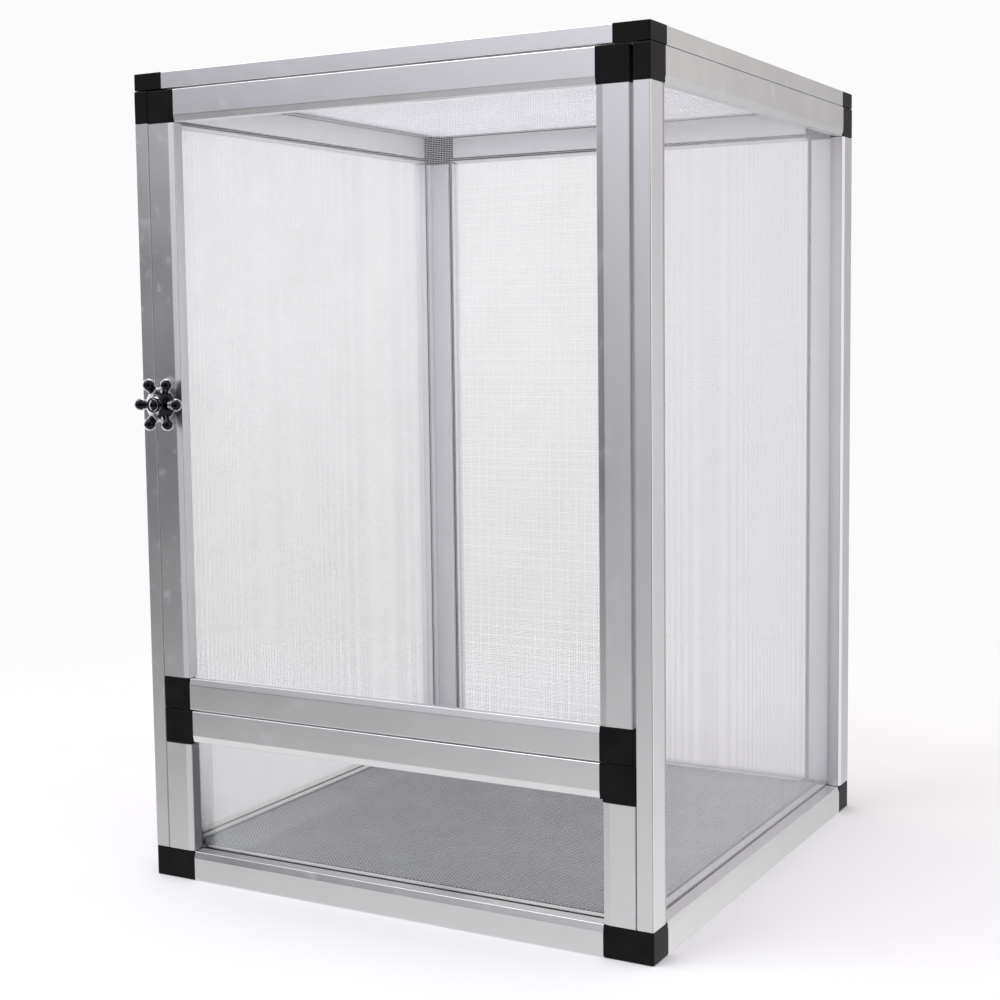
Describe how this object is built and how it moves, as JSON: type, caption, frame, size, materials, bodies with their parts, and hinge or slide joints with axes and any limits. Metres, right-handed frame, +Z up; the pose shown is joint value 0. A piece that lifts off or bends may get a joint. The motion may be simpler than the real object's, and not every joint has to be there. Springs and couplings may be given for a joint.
{
  "type": "screened small-pet cage",
  "caption": "Tall screened pet cage of aluminium bars with black corner blocks, a swinging front door with a star-knob latch and a clear lower front.",
  "frame": {"origin": "on the ground under the middle of the whole box, the knob's reach in front included", "axes": "+Z up, -Y out of the door, +X towards the hinge side as seen from the front"},
  "size_m": [0.412, 0.431, 0.6],
  "materials": {
    "frame_bar": "satin anodised extrusion",
    "corner_block": "black moulded plastic, slightly glossy",
    "wire_screen": "bright woven wire",
    "clear_pane": "clear acrylic sheet",
    "chrome_knob": "polished chrome plate",
    "plated_steel": "zinc-plated steel"
  },
  "bodies": {
    "frame": {"base_rail_front": "frame_bar", "base_rail_rear": "frame_bar", "base_rail_left": "frame_bar", "base_rail_right": "frame_bar", "base_corner_front_left": "corner_block", "base_corner_front_right": "corner_block", "base_corner_rear_right": "corner_block", "base_corner_rear_left": "corner_block", "floor_screen": "wire_screen", "left_stile_rear": "frame_bar", "left_stile_front": "frame_bar", "left_top_rail": "frame_bar", "left_corner_rear": "corner_block", "left_corner_front": "corner_block", "left_screen": "wire_screen", "right_stile_front": "frame_bar", "right_stile_rear": "frame_bar", "right_top_rail": "frame_bar", "right_corner_front": "corner_block", "right_corner_rear": "corner_block", "right_screen": "wire_screen", "back_stile_right": "frame_bar", "back_stile_left": "frame_bar", "back_top_rail": "frame_bar", "back_corner_right": "corner_block", "back_corner_left": "corner_block", "back_screen": "wire_screen", "top_rail_left": "frame_bar", "top_rail_right": "frame_bar", "top_rail_front": "frame_bar", "top_rail_rear": "frame_bar", "top_corner_front_left": "corner_block", "top_corner_front_right": "corner_block", "top_corner_rear_left": "corner_block", "top_corner_rear_right": "corner_block", "top_screen": "wire_screen", "lower_stile_left": "frame_bar", "lower_stile_right": "frame_bar", "middle_rail": "frame_bar", "middle_connector_left": "corner_block", "middle_connector_right": "corner_block", "lower_pane": "clear_pane", "pivot_pin_top": "plated_steel", "pivot_pin_bottom": "plated_steel"},
    "door": {"door_stile_latch": "frame_bar", "door_stile_hinge": "frame_bar", "door_rail_bottom": "frame_bar", "door_rail_top": "frame_bar", "door_corner_bottom_left": "corner_block", "door_corner_bottom_right": "corner_block", "door_corner_top_left": "corner_block", "door_corner_top_right": "corner_block", "door_screen": "wire_screen"},
    "latch": {"latch_knob": "chrome_knob", "latch_spindle": "plated_steel", "latch_cam": "plated_steel", "latch_nut": "plated_steel"}
  },
  "joints": [
    {"name": "door_hinge", "type": "hinge", "parent": "frame", "child": "door", "pos_m": [0.1853, -0.192, 0.359], "axis": [0, 0, 1], "range_deg": [0, 110]},
    {"name": "latch_turn", "type": "hinge", "parent": "door", "child": "latch", "pos_m": [-0.18185, -0.1965, 0.359], "axis": [0, -1, 0], "range_deg": [0, 90]}
  ]
}
